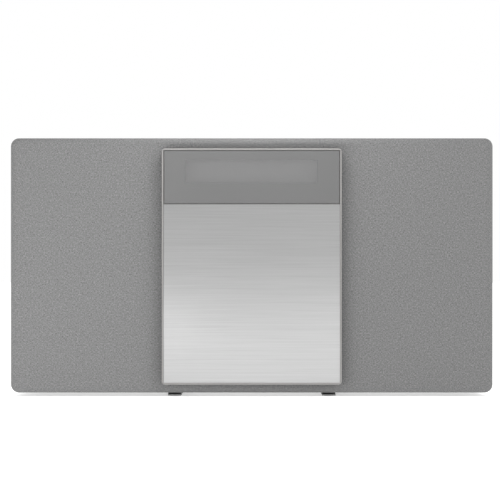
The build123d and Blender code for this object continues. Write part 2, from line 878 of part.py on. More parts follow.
def key(x):
    """One key: cap through the top wall, flange under it, stem above its switch."""
    half = key_length / 2
    depth = key_depth / 2
    cap = box(x - half, x + half, key_y - depth, key_y + depth, key_bottom, key_top)
    cap = fillet(cap.edges().filter_by(Axis.Z), 1.2)
    cap = fillet(cap.faces().sort_by(Axis.Z)[-1].edges(), 0.5)
    wide = half + key_flange_rim
    deep = depth + key_flange_rim
    flange = box(x - wide, x + wide, key_y - deep, key_y + deep, *key_flange)
    return cap + flange + square_post(x, key_stem_half, key_stem_bottom, key_flange[0])


def square_post(x, half, z0, z1):
    """A square post on the keys' centre line."""
    return box(x - half, x + half, key_y - half, key_y + half, z0, z1)


def key_board():
    """Board under the keys, hung from the top wall on four pegs."""
    half = key_pitch * len(key_names) / 2 + key_board_end
    board = box(-half, half, key_y - key_board_half, key_y + key_board_half,
                key_board_bottom, key_board_top)
    peg = Cylinder(1.8, cabinet_top - cabinet_wall - key_board_top, align=STANDING)
    for x in (-half + 4, half - 4):
        for y in (key_y - key_board_half + 2, key_y + key_board_half - 2):
            board += Pos(x, y, key_board_top) * peg
    return board


def key_switches():
    """Tactile switches under the keys."""
    return [square_post(x, switch_half, key_board_top, switch_top)
            + square_post(x, switch_button_half, switch_top, switch_button_top)
            for _, x in key_centres()]


# ---------------------------------------------------------------- rear cabinet
def board_posts():
    return [(-78, 42), (78, 42), (-78, 184), (78, 184)]


def rear_cabinet():
    """Deep moulded back shell with bosses, vents and socket openings."""
    shell = panel(cabinet_width, cabinet_height, cabinet_corner, 0, body_mid,
                  cabinet_front, cabinet_rear)
    shell = fillet(shell.faces().sort_by(Axis.Y)[-1].edges(), cabinet_edge)
    inner_rear = cabinet_rear - cabinet_wall
    hollow = panel(cabinet_width - 2 * cabinet_wall, cabinet_height - 2 * cabinet_wall,
                   cabinet_corner - cabinet_wall, 0, body_mid, cabinet_front, inner_rear)
    hollow = fillet(hollow.faces().sort_by(Axis.Y)[-1].edges(), cabinet_edge - cabinet_wall)
    shell -= hollow
    for x, z in cabinet_bosses:
        shell += rod_y(x, z, boss_radius, boss_front, inner_rear + 0.5)
        shell -= rod_y(x, z, big_screw, boss_front, cabinet_rear)
        shell -= rod_y(x, z, big_head + 0.3, screw_well, cabinet_rear)
    for x, z in board_posts():
        shell += rod_y(x, z, 3.0, board_front + board_thickness, inner_rear + 0.5)
        shell -= rod_y(x, z, small_screw, board_front + board_thickness, inner_rear)
    for side in (-1, 1):
        shell += rod_y(side * wall_hole_x, wall_hole_z, long_boss_radius, 6.0, inner_rear + 0.5)
        shell -= rod_y(side * wall_hole_x, wall_hole_z, wall_hole_radius, 9.0, cabinet_rear)
        shell += rod_y(side * leg_x, stand_screw_z, long_boss_radius, 8.0, inner_rear + 0.5)
        shell -= rod_y(side * leg_x, stand_screw_z, big_screw, 11.0, cabinet_rear)
    for _, x in key_centres():
        half = key_length / 2 + key_gap
        depth = key_depth / 2 + key_gap
        shell -= box(x - half, x + half, key_y - depth, key_y + depth,
                     key_opening_bottom, cabinet_top)
    shell -= vent_slots(inner_rear)
    shell -= panel(22.6, 12.6, 2.0, inlet_x, inlet_z, inner_rear, cabinet_rear)
    shell -= rod_y(antenna_x, antenna_z, 5.3, inner_rear, cabinet_rear)
    wall_x = cabinet_width / 2 - cabinet_wall
    shell -= box(wall_x, wall_x + cabinet_wall, side_y - 7.1, side_y + 7.1, usb_z - 3.6, usb_z + 3.6)
    shell -= rod_x(side_y, headphone_z, 4.1, wall_x, wall_x + cabinet_wall)
    return shell


def vent_slots(inner_rear):
    """Cooling slots through the back, above and below the boards."""
    slots = Sketch()
    first = -vent_pitch * (vent_count - 1) / 2
    for row_z in vent_rows:
        for index in range(vent_count):
            slots += Pos(first + index * vent_pitch, row_z) * RectangleRounded(*vent_size)
    return slab(slots, inner_rear, cabinet_rear)


def cabinet_screws():
    screws = [screw(x, z, screw_well, 44, big_screw, big_head, towards=-1)
              for x, z in cabinet_bosses]
    for side in (-1, 1):
        screws.append(screw(side * leg_x, stand_screw_z, cabinet_rear + stand_plate, 13,
                            big_screw, big_head, towards=-1))
    return screws


def chassis_screws():
    """Small self-tapping screws: drivers, disc drive and main board."""
    screws = []
    for side in (-1, 1):
        for turn in range(4):
            x, z = on_circle(side * speaker_x, speaker_z, speaker_screw_radius, 45 + 90 * turn)
            screws.append(screw(x, z, -42.0, 5.0, small_screw, small_head))
    for x, z in damper_points():
        screws.append(screw(x, z, -31.5, 4.5, small_screw, 4.0, towards=-1))
    for x, z in board_posts():
        screws.append(screw(x, z, board_front, 8.0, small_screw, small_head))
    return screws


# ---------------------------------------------------------------- electronics
def main_board():
    """Board with its main chips, capacitors and connectors."""
    rear = board_front + board_thickness
    board = box(-board_half, board_half, board_front, rear, board_bottom, board_top)
    for x, z, wide, tall, deep in chips:
        board += box(x - wide / 2, x + wide / 2, board_front - deep, board_front,
                     z - tall / 2, z + tall / 2)
    for x, z, radius, deep in capacitors:
        board += rod_y(x, z, radius, board_front - deep, board_front)
    for x, z in board_posts():
        board -= rod_y(x, z, small_screw, board_front, rear)
    return board


def transformer():
    """Switching transformer: ferrite core round a wound bobbin."""
    front = board_front - core_depth
    window = (front + core_wall, board_front - core_wall, core_bottom + core_wall, core_top - core_wall)
    core = box(core_left, core_right, front, board_front, core_bottom, core_top)
    core -= box(core_left, core_right, *window)
    bobbin = box(core_left + 3, core_right - 3, *window)
    return [core, fillet(bobbin.edges().filter_by(Axis.X), 3.0)]


def heat_sink():
    """Finned aluminium block for the amplifier chip."""
    base_front = board_front - sink_base
    sink = box(sink_left, sink_right, base_front, board_front, sink_bottom, sink_top)
    pitch = (sink_right - sink_left - fin_thickness) / (fin_count - 1)
    for index in range(fin_count):
        x = sink_left + index * pitch
        sink += box(x, x + fin_thickness, board_front - sink_depth, base_front, sink_bottom, sink_top)
    return sink


# ---------------------------------------------------------------- sockets
def ac_inlet():
    """Two-pin mains inlet, figure-of-eight mouth."""
    flange_rear = cabinet_rear - cabinet_wall
    inlet = panel(*inlet_size, inlet_x, inlet_z, inlet_front, cabinet_rear)
    inlet += panel(*inlet_flange, inlet_x, inlet_z, flange_rear - inlet_flange_thickness, flange_rear)
    mouth = Rectangle(2 * inlet_pin_x, inlet_waist)
    for side in (-1, 1):
        mouth += Pos(side * inlet_pin_x, 0) * Circle(inlet_lobe_radius)
    inlet -= slab(Pos(inlet_x, inlet_z) * mouth, inlet_floor, cabinet_rear)
    for side in (-1, 1):
        inlet += rod_y(inlet_x + side * inlet_pin_x, inlet_z, inlet_pin_radius,
                       inlet_floor, cabinet_rear - 3)
    return inlet


def antenna_terminal():
    """Coaxial aerial socket."""
    socket = tube_y(antenna_x, antenna_z, antenna_radius, antenna_radius - 0.9,
                    antenna_floor - 2, cabinet_rear + 4)
    socket += rod_y(antenna_x, antenna_z, antenna_radius, board_front + board_thickness, antenna_floor)
    return socket + rod_y(antenna_x, antenna_z, antenna_pin_radius, antenna_floor, cabinet_rear + 1)


def usb_port():
    """Upright-shelf USB socket in the right side."""
    right = cabinet_width / 2 - 0.6
    left = right - usb_depth
    wall = usb_wall
    shell = box(left, right, side_y - usb_half_width, side_y + usb_half_width,
                usb_z - usb_half_height, usb_z + usb_half_height)
    shell -= box(left + 1, right, side_y - usb_half_width + wall, side_y + usb_half_width - wall,
                 usb_z - usb_half_height + wall, usb_z + usb_half_height - wall)
    return shell + box(left + 1, right - 1.5, side_y - usb_tongue_half, side_y + usb_tongue_half,
                       *usb_tongue)


def headphone_jack():
    """3.5 mm stereo socket in the right side."""
    right = cabinet_width / 2
    barrel = rod_x(side_y, headphone_z, 4.0, right - 4, right)
    barrel += box(right - 17, right - 3.2, side_y - 6, side_y + 6, headphone_z - 5, headphone_z + 5)
    return barrel - rod_x(side_y, headphone_z, headphone_bore, right - 15, right)


# ---------------------------------------------------------------- stand
def leg_outline():
    """Side view of one leg, (y, z): flat toe, tread under the body, heel behind."""
    plate_rear = cabinet_rear + stand_plate
    plate_top = stand_bridge[1]
    return Polygon((leg_front, stand_bottom), (stand_rear, stand_bottom), (stand_rear, heel_height),
                   (stand_rear - 4, 4.0), (plate_rear + 6, 8.0), (plate_rear, 16.0),
                   (plate_rear, plate_top), (cabinet_rear, plate_top), (cabinet_rear, leg_clearance),
                   (-5.0, leg_clearance), (leg_front, toe_top), align=None)


def stand():
    """Two legs that reach forward under the body, joined behind it."""
    body = Part()
    for side in (-1, 1):
        outline = extrude(Plane.YZ * leg_outline(), amount=leg_width)
        body += Pos(side * leg_x - leg_width / 2, 0, 0) * outline
    body += box(-leg_x, leg_x, cabinet_rear, cabinet_rear + stand_plate, *stand_bridge)
    for side in (-1, 1):
        body -= rod_y(side * leg_x, stand_screw_z, big_screw, cabinet_rear, cabinet_rear + stand_plate)
        for y in pad_rows():
            body -= Pos(side * leg_x, y, stand_bottom) * pad_disc(pad_recess)
    return body


def pad_rows():
    return leg_front + pad_inset, stand_rear - pad_inset


def pad_disc(height):
    return Cylinder(pad_radius, height, align=STANDING)


def stand_pads():
    return [Pos(side * leg_x, y, 0) * pad_disc(2 * pad_recess) for side in (-1, 1) for y in pad_rows()]


# ---------------------------------------------------------------- write the nodes
def main():
    single = [grille_cloth, grille_frame, front_chassis, centre_panel, disc_well,
              display_lcd, display_board, door_frame, door_window, door_trim_plate,
              lower_carriage, upper_carriage, door_drive_gear, door_pulley_gear,
              door_motor_pulley, door_motor, door_belt, traverse_chassis, turntable,
              spindle_motor, pickup_sled, objective_lens, sled_gear, sled_motor,
              sled_motor_pinion, key_board, rear_cabinet, main_board, heat_sink,
              ac_inlet, antenna_terminal, usb_port, headphone_jack, stand]
    for make in single:
        save(make.__name__, make())
    groups = [door_screws, door_rails, gear_posts, damper_bushes, sled_rods, key_switches,
              cabinet_screws, chassis_screws, transformer, stand_pads]
    for make in groups:
        save(make.__name__, *make())
    pair = (-speaker_x, speaker_x)
    save("speaker_baskets", *[speaker_basket(x) for x in pair])
    save("speaker_magnets", *[piece for x in pair for piece in speaker_magnet(x)])
    save("speaker_surrounds", *[speaker_surround(x) for x in pair])
    save("speaker_spiders", *[speaker_spider(x) for x in pair])
    save("speaker_tubs", *[speaker_tub(x) for x in pair])
    save("left_cone", speaker_cone(-speaker_x))
    save("right_cone", speaker_cone(speaker_x))
    for name, x in key_centres():
        save("key_" + name, key(x))


main()
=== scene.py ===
import json
import math

import bmesh
import bpy
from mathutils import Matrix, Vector


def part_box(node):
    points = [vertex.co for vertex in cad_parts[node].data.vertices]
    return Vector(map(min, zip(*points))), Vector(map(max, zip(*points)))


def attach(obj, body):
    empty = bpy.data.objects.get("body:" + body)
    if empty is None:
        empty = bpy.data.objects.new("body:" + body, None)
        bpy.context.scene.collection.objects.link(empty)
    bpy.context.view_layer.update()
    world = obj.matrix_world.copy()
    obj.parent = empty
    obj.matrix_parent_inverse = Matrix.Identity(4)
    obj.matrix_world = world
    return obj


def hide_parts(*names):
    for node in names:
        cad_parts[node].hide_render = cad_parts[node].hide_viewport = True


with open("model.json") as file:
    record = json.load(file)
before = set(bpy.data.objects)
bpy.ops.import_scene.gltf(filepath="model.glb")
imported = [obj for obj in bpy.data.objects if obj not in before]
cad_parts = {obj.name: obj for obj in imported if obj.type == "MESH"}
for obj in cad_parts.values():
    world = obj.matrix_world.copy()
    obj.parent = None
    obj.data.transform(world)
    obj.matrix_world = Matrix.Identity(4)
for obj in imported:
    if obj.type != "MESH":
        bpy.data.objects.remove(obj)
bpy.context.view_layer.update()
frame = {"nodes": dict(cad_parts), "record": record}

# A slim mini hi-fi: cloth-covered front, sliding door with a smoked window over a
# brushed plate, grey cabinet, keys along the top and a thin two-legged stand.
# Everything is in metres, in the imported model's frame, with the front facing -Y.

MM = 0.001
SLOT_OF = {part["node"]: part["material_slot"] for part in frame["record"]["subparts"]}
BODY_OF = {node: body for body, nodes in frame["record"]["behaviour"]["bodies"].items()
           for node in nodes}

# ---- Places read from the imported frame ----
CLOTH_LOW, CLOTH_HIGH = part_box("grille_cloth")
PANEL_LOW, PANEL_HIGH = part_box("centre_panel")
LCD_LOW, LCD_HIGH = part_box("display_lcd")

# ---- Window and display: the clear patch ends this far inside the panel's edges ----
VIEW_LOW = LCD_LOW + Vector((3.6, 0, 3.5)) * MM
VIEW_HIGH = LCD_HIGH - Vector((4.4, 0, 2.7)) * MM
CLEAR_COVER = 0.3
LCD_CELL = 1.2 * MM

# ---- Cloth ----
CLOTH_THICKNESS = 0.8 * MM
CORNER_RADIUS = 7.0 * MM
PILLOW_RADIUS = 5.0 * MM
OPENING_GAP = 0.3 * MM
OPENING_RADIUS = 0.9 * MM
GATHERS_ROUND = 36
GATHER_DEPTH = 0.22 * MM
RING_COUNTS = (72, 40, 8)
FACE_SHARES = (0.0, 0.03, 0.1, 0.2, 0.35, 0.5, 0.65, 0.8, 0.9, 0.97, 1.0)
PILLOW_ROWS = 9
SIDE_ROWS = 10
THREAD_PITCH = 0.62 * MM
CLOTH_DARK = 0.065
CLOTH_LIGHT = 0.213

# ---- Hard parts ----
EDGE_SEGMENTS = 2
EDGE_ANGLE = 40
WELD = 0.002 * MM
SYMBOL_HEIGHT = 0.1 * MM


# ------------------------------------------------------------------ node helpers
class Shader:
    """A material round one Principled shader, with short ways to wire nodes to it."""

    def __init__(self, name, **values):
        self.material = bpy.data.materials.new(name)
        self.material.use_nodes = True
        self.tree = self.material.node_tree
        self.shader = self.tree.nodes["Principled BSDF"]
        for socket, value in values.items():
            self.shader.inputs[socket.replace("_", " ")].default_value = value

    def node(self, kind, **settings):
        made = self.tree.nodes.new("ShaderNode" + kind)
        for key, value in settings.items():
            setattr(made, key, value)
        return made

    def link(self, source, target):
        self.tree.links.new(source, target)

    def math(self, operation, first, second=None):
        """One Math node; each input is a socket or a number."""
        made = self.node("Math", operation=operation)
        for index, value in enumerate((first, second)):
            if value is None:
                continue
            if isinstance(value, (int, float)):
                made.inputs[index].default_value = value
            else:
                self.link(value, made.inputs[index])
        return made.outputs[0]

    def place(self, scale=(1, 1, 1), uv=False):
        """Surface position, stretched: in the flat cloth's layout, or in the model's frame."""
        if uv:
            source = self.node("UVMap", uv_map="flat").outputs["UV"]
        else:
            source = self.node("TexCoord").outputs["Object"]
        mapping = self.node("Mapping")
        mapping.inputs["Scale"].default_value = scale
        self.link(source, mapping.inputs["Vector"])
        return mapping.outputs["Vector"]

    def noise(self, scale, stretch=(1, 1, 1), detail=2.0, roughness=0.5, uv=False):
        made = self.node("TexNoise")
        made.inputs["Scale"].default_value = scale
        made.inputs["Detail"].default_value = detail
        made.inputs["Roughness"].default_value = roughness
        self.link(self.place(stretch, uv), made.inputs["Vector"])
        return made.outputs["Fac"]

    def spread(self, value, low, high, start=0.3, end=0.7):
        """A value stretched from its middle range to low..high."""
        made = self.node("MapRange")
        made.inputs["From Min"].default_value = start
        made.inputs["From Max"].default_value = end
        made.inputs["To Min"].default_value = low
        made.inputs["To Max"].default_value = high
        self.link(value, made.inputs["Value"])
        return made.outputs["Result"]

    def colours(self, value, dark, light, start=0.3, end=0.7):
        """Colour from dark to light as the value goes from start to end."""
        ramp = self.node("ValToRGB")
        ramp.color_ramp.elements[0].position = start
        ramp.color_ramp.elements[0].color = (*dark, 1)
        ramp.color_ramp.elements[1].position = end
        ramp.color_ramp.elements[1].color = (*light, 1)
        self.link(value, ramp.inputs["Fac"])
        self.link(ramp.outputs["Color"], self.shader.inputs["Base Color"])

    def rough(self, value, low, high):
        self.link(self.spread(value, low, high), self.shader.inputs["Roughness"])

    def bump(self, value, depth, strength=1.0):
        made = self.node("Bump")
        made.inputs["Strength"].default_value = strength
        made.inputs["Distance"].default_value = depth
        self.link(value, made.inputs["Height"])
        self.link(made.outputs["Normal"], self.shader.inputs["Normal"])


def grey(level):
    return (level, level, level)


# ------------------------------------------------------------------ materials
def speaker_cloth():
    """Plain-woven melange yarn: light and dark fibres, raised at each crossing, with painted shade:
    lighter on each crossing and darker in the gaps between threads.
    """
    cloth = Shader("speaker_cloth", Roughness=0.92, Sheen_Weight=0.1, Sheen_Roughness=0.5)
    turn = math.pi / THREAD_PITCH
    flat = cloth.node("SeparateXYZ")
    cloth.link(cloth.place(uv=True), flat.inputs["Vector"])
    across = cloth.math("SINE", cloth.math("MULTIPLY", flat.outputs["X"], turn))
    along = cloth.math("SINE", cloth.math("MULTIPLY", flat.outputs["Y"], turn))
    weave = cloth.math("MULTIPLY", across, along)
    warp = cloth.noise(1400, (0.5, 1.5, 1), detail=0.0, uv=True)
    weft = cloth.noise(1400, (1.5, 0.5, 1), detail=0.0, uv=True)
    yarn = cloth.math("MAXIMUM", warp, weft)
    # Painted shade of the weave: the colour is lifted on each thread crossing and darkened along the
    # gaps between threads.
    yarn_and_painted_weave_shade = cloth.math("ADD", yarn, cloth.math("MULTIPLY", cloth.math("ABSOLUTE", weave), 0.12))
    cloth.colours(yarn_and_painted_weave_shade, grey(CLOTH_DARK), grey(CLOTH_LIGHT), 0.35, 0.95)
    fibres = cloth.noise(6000, detail=1.0, uv=True)
    height = cloth.math("ADD", cloth.math("MULTIPLY", weave, 0.5), cloth.math("MULTIPLY", fibres, 0.5))
    cloth.bump(height, 0.12 * MM, 0.7)
    return cloth.material


def brushed_aluminium():
    """Fine lines brushed across the plate."""
    metal = Shader("brushed_aluminium", Metallic=1.0, Roughness=0.36)
    hair = metal.noise(1.0, (16, 40, 2400), detail=3.0)
    band = metal.noise(1.0, (7, 20, 420), detail=2.0)
    lines = metal.math("ADD", metal.math("MULTIPLY", hair, 0.8), metal.math("MULTIPLY", band, 0.2))
    metal.colours(lines, grey(0.365), grey(0.43))
    metal.rough(hair, 0.33, 0.39)
    metal.bump(hair, 0.01 * MM, 0.2)
    return metal.material


def smoked_window():
    """Grey acrylic, printed behind except for a nearly clear patch over the display."""
    acrylic = Shader("smoked_window", Roughness=0.06, IOR=1.49, Coat_Weight=0.3, Coat_Roughness=0.03)
    acrylic.colours(acrylic.noise(9, detail=1.0), grey(0.098), grey(0.107))
    place = acrylic.node("SeparateXYZ")
    acrylic.link(acrylic.place(), place.inputs["Vector"])
    inside_x = near(acrylic, place.outputs["X"], VIEW_LOW.x, VIEW_HIGH.x)
    inside_z = near(acrylic, place.outputs["Z"], VIEW_LOW.z, VIEW_HIGH.z)
    clear = acrylic.math("MULTIPLY", inside_x, inside_z)
    cover = acrylic.math("SUBTRACT", 1.0, acrylic.math("MULTIPLY", clear, 1 - CLEAR_COVER))
    acrylic.link(cover, acrylic.shader.inputs["Alpha"])
    acrylic.bump(acrylic.noise(35, detail=0.0), 0.02 * MM, 0.15)
    return acrylic.material


def near(shader, value, low, high):
    """One where the value lies between low and high, nought elsewhere."""
    off = shader.math("ABSOLUTE", shader.math("SUBTRACT", value, (low + high) / 2))
    return shader.math("LESS_THAN", off, (high - low) / 2)


def lcd_glass():
    """Liquid-crystal panel with a faint grid of cells and a painted glow."""
    # Painted glow: the emission stands in for light reaching the panel through the window and evens
    # out the shade of its recess.
    lcd = Shader("lcd_glass", Roughness=0.28, Emission_Color=(1, 1, 1, 1), Emission_Strength=0.25)
    grid = lcd.node("SeparateXYZ")
    lcd.link(lcd.place(), grid.inputs["Vector"])
    turn = 2 * math.pi / LCD_CELL
    column = lcd.math("SINE", lcd.math("MULTIPLY", grid.outputs["X"], turn))
    row = lcd.math("SINE", lcd.math("MULTIPLY", grid.outputs["Z"], turn))
    cell = lcd.math("MAXIMUM", column, row)
    lcd.colours(cell, grey(0.13), grey(0.16), 0.7, 1.0)
    lcd.bump(lcd.noise(400), 0.01 * MM, 0.2)
    return lcd.material


def moulded(name, dark, light, roughness, grain=2600, depth=0.03, sheen=0.0):
    """Injection-moulded plastic with a fine spark texture."""
    plastic = Shader(name, Coat_Weight=sheen, Coat_Roughness=0.15)
    plastic.colours(plastic.noise(14, detail=3.0), dark, light)
    spark = plastic.noise(grain, detail=2.0)
    plastic.rough(spark, roughness - 0.07, roughness + 0.07)
    plastic.bump(spark, depth * MM, 0.5)
    return plastic.material


def gloss_black():
    """Gloss moulding with the faintest ripple and handling haze."""
    plastic = Shader("gloss_black", Coat_Weight=0.4, Coat_Roughness=0.05)
    plastic.colours(plastic.noise(10), grey(0.008), grey(0.013))
    plastic.rough(plastic.noise(90, detail=4.0), 0.12, 0.22)
    plastic.bump(plastic.noise(45, detail=1.0), 0.02 * MM, 0.2)
    return plastic.material


def turned_metal(name, dark, light, roughness=0.32, stretch=(1, 1, 1), grain=900):
    """Bare or plated metal with a directional grain."""
    metal = Shader(name, Metallic=1.0)
    metal.colours(metal.noise(60, stretch, detail=3.0), dark, light)
    scratch = metal.noise(grain, stretch, detail=3.0)
    metal.rough(scratch, roughness - 0.08, roughness + 0.12)
    metal.bump(scratch, 0.01 * MM, 0.3)
    return metal.material


def circuit_board():
    """Green solder resist over a faint pattern of tracks."""
    board = Shader("circuit_board", Coat_Weight=0.3, Coat_Roughness=0.2)
    tracks = board.node("TexVoronoi", feature="DISTANCE_TO_EDGE", distance="MANHATTAN")
    tracks.inputs["Scale"].default_value = 260
    board.link(board.place(), tracks.inputs["Vector"])
    board.colours(tracks.outputs["Distance"], (0.10, 0.26, 0.11), (0.02, 0.11, 0.045), 0.02, 0.08)
    board.rough(board.noise(300), 0.35, 0.5)
    board.bump(tracks.outputs["Distance"], 0.03 * MM, 0.3)
    return board.material


def rubber():
    """Matt black rubber with a little dust."""
    soft = Shader("rubber")
    soft.colours(soft.noise(40, detail=4.0), grey(0.014), grey(0.028))
    dust = soft.noise(1800, detail=2.0)
    soft.rough(dust, 0.72, 0.9)
    soft.bump(dust, 0.02 * MM, 0.5)
    return soft.material


def cone_paper():
    """Pressed pulp with fibres."""
    paper = Shader("cone_paper")
    fibre = paper.noise(500, (1, 1, 3), detail=5.0, roughness=0.7)
    paper.colours(fibre, grey(0.018), grey(0.06))
    paper.rough(fibre, 0.8, 0.95)
    paper.bump(fibre, 0.08 * MM, 0.6)
    return paper.material


def spider_cloth():
    """Open cotton dipped in amber resin."""
    cotton = Shader("spider_cloth")
    threads = cotton.noise(1500, (1, 3, 1), detail=2.0)
    cotton.colours(threads, (0.22, 0.14, 0.05), (0.50, 0.35, 0.15))
    cotton.rough(threads, 0.55, 0.75)
    cotton.bump(threads, 0.06 * MM, 0.7)
    return cotton.material


def lens_glass():
    """Small blue-coated lens."""
    lens = Shader("lens_glass", Roughness=0.03, IOR=1.6, Alpha=0.7, Coat_Weight=1.0)
    lens.colours(lens.noise(900), (0.10, 0.14, 0.30), (0.16, 0.22, 0.42))
    return lens.material


MATERIALS = {
    "speaker_cloth": speaker_cloth(),
    "brushed_aluminium": brushed_aluminium(),
    "smoked_window": smoked_window(),
    "lcd_glass": lcd_glass(),
    "black_plastic": moulded("black_plastic", grey(0.012), grey(0.022), 0.55),
    "gloss_black": gloss_black(),
    "door_plastic": moulded("door_plastic", (0.19, 0.185, 0.18), (0.22, 0.215, 0.21), 0.32,
                            grain=4200, depth=0.01, sheen=0.3),
    "cabinet_plastic": moulded("cabinet_plastic", grey(0.17), grey(0.20), 0.48, grain=1700),
    "stand_plastic": moulded("stand_plastic", grey(0.22), grey(0.26), 0.42, grain=2200),
    "key_plastic": moulded("key_plastic", grey(0.30), grey(0.35), 0.28, grain=4200, depth=0.01,
                           sheen=0.3),
    "gear_plastic": moulded("gear_plastic", (0.66, 0.65, 0.60), (0.76, 0.75, 0.70), 0.4),
    "circuit_board": circuit_board(),
    "steel": turned_metal("steel", grey(0.42), grey(0.60)),
    "brass": turned_metal("brass", (0.55, 0.40, 0.16), (0.72, 0.55, 0.25)),
    "basket_steel": moulded("basket_steel", grey(0.012), grey(0.03), 0.4, grain=900),
    "magnet": moulded("magnet", grey(0.04), grey(0.08), 0.6, grain=1200, depth=0.06),
    "sink_aluminium": turned_metal("sink_aluminium", grey(0.50), grey(0.62), 0.4, (1, 1, 8), 500),
    "connector_metal": turned_metal("connector_metal", grey(0.58), grey(0.72), 0.22),
    "rubber": rubber(),
    "cone_paper": cone_paper(),
    "spider_cloth": spider_cloth(),
    "lens_glass": lens_glass(),
}


# ------------------------------------------------------------------ mesh helpers
def add_piece(name, mesh, body, slot):
    """Link a mesh as a piece that rides on a body and takes a slot's finish."""
    piece = bpy.data.objects.new(name, mesh)
    bpy.context.scene.collection.objects.link(piece)
    mesh.materials.clear()
    mesh.materials.append(MATERIALS[slot])
    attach(piece, body)
    return piece


def applied(piece):
    """Replace the piece's mesh with the result of its modifiers."""
    graph = bpy.context.evaluated_depsgraph_get()
    result = bpy.data.meshes.new_from_object(piece.evaluated_get(graph))
    piece.modifiers.clear()
    piece.data = result


def smooth(mesh, degrees=35):
    """Shade smoothly, but keep edges sharper than the angle."""
    mesh.shade_smooth()
    mesh.set_sharp_from_angle(angle=math.radians(degrees))


def ring(half_width, half_height, radius, middle_z, y):
    """Points round a rounded rectangle, with its outward directions, always as many."""
    across, up, corner = RING_COUNTS
    points = []
    for quarter, (sx, sz) in enumerate(((1, 1), (-1, 1), (-1, -1), (1, -1))):
        centre = Vector((sx * (half_width - radius), sz * (half_height - radius)))
        for step in range(corner + 1):
            angle = math.pi / 2 * (quarter + step / corner)
            out = Vector((math.cos(angle), math.sin(angle)))
            points.append((centre + out * radius, out))
        last, out = points[-1]
        if quarter % 2 == 0:
            far = Vector((-last.x, last.y))
            parts = across
        else:
            far = Vector((last.x, -last.y))
            parts = up
        for step in range(1, parts):
            points.append((last.lerp(far, step / parts), out))
    return [(Vector((flat.x, y, flat.y + middle_z)), out) for flat, out in points]


def strip_faces(ring_count, size):
    """Faces between each ring of points and the next."""
    faces = []
    for row in range(ring_count - 1):
        for index in range(size):
            after = (index + 1) % size
            faces.append((row * size + index, (row + 1) * size + index,
                          (row + 1) * size + after, row * size + after))
    return faces


# ------------------------------------------------------------------ speaker cloth
def cloth_rings():
    """Rings of cloth from the door's opening out, round the edge and back along the sides."""
    half_width = (CLOTH_HIGH.x - CLOTH_LOW.x) / 2
    half_height = (CLOTH_HIGH.z - CLOTH_LOW.z) / 2
    middle = (CLOTH_HIGH.z + CLOTH_LOW.z) / 2
    hole_half = (PANEL_HIGH.x - PANEL_LOW.x) / 2 + OPENING_GAP
    hole_tall = (PANEL_HIGH.z - PANEL_LOW.z) / 2 + OPENING_GAP
    hole_middle = (PANEL_HIGH.z + PANEL_LOW.z) / 2
    front = CLOTH_LOW.y
    opening = ring(hole_half, hole_tall, OPENING_RADIUS, hole_middle, front)
    shoulder = ring(half_width - PILLOW_RADIUS, half_height - PILLOW_RADIUS,
                    CORNER_RADIUS - PILLOW_RADIUS, middle, front)
    rings, flats = [], []
    for share in FACE_SHARES:
        spots = [a[0].lerp(b[0], share) for a, b in zip(opening, shoulder)]
        rings.append(spots)
        flats.append([(spot.x, spot.z) for spot in spots])
    for step in range(1, PILLOW_ROWS + 1):
        angle = math.pi / 2 * step / PILLOW_ROWS
        inset = PILLOW_RADIUS * (1 - math.sin(angle))
        depth = front + PILLOW_RADIUS * (1 - math.cos(angle))
        spots = ring(half_width - inset, half_height - inset, CORNER_RADIUS - inset,
                     middle, depth)
        rings.append([spot for spot, _ in spots])
        flats.append(unrolled(shoulder, PILLOW_RADIUS * angle))
    side = CLOTH_HIGH.y - front - PILLOW_RADIUS
    for step in range(1, SIDE_ROWS + 1):
        depth = front + PILLOW_RADIUS + side * step / SIDE_ROWS
        spots = ring(half_width, half_height, CORNER_RADIUS, middle, depth)
        tuck = corner_tuck(step / SIDE_ROWS)
        rings.append([spot - Vector((out.x, 0, out.y)) * tuck(out, spot) for spot, out in spots])
        flats.append(unrolled(shoulder, PILLOW_RADIUS * math.pi / 2 + side * step / SIDE_ROWS))
    return rings, flats


def unrolled(shoulder, distance):
    """Where cloth past the front's edge lay before it was wrapped round."""
    return [(spot.x + out.x * distance, spot.z + out.y * distance) for spot, out in shoulder]


def corner_tuck(share):
    """Small gathers where the spare cloth is pulled in at the four corners."""
    def depth(out, spot):
        diagonal = abs(out.x * out.y) * 2
        angle = math.atan2(out.y, out.x)
        return GATHER_DEPTH * share * diagonal * (0.5 + 0.5 * math.cos(angle * GATHERS_ROUND))
    return depth


def make_cloth():
    """The one sheet over the front, made as a surface and then given its thickness."""
    rings, flats = cloth_rings()
    size = len(rings[0])
    mesh = bpy.data.meshes.new("grille_cloth_skin")
    spots = [spot for row in rings for spot in row]
    mesh.from_pydata(spots, [], strip_faces(len(rings), size))
    flat = [place for row in flats for place in row]
    layer = mesh.uv_layers.new(name="flat")
    for loop in mesh.loops:
        layer.data[loop.index].uv = flat[loop.vertex_index]
    mesh.update()
    cloth = add_piece("grille_cloth_skin", mesh, "cabinet", "speaker_cloth")
    shell = cloth.modifiers.new("thickness", "SOLIDIFY")
    shell.thickness = CLOTH_THICKNESS
    shell.offset = -1
    shell.use_even_offset = True
    applied(cloth)
    smooth(cloth.data, 50)
    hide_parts("grille_cloth")


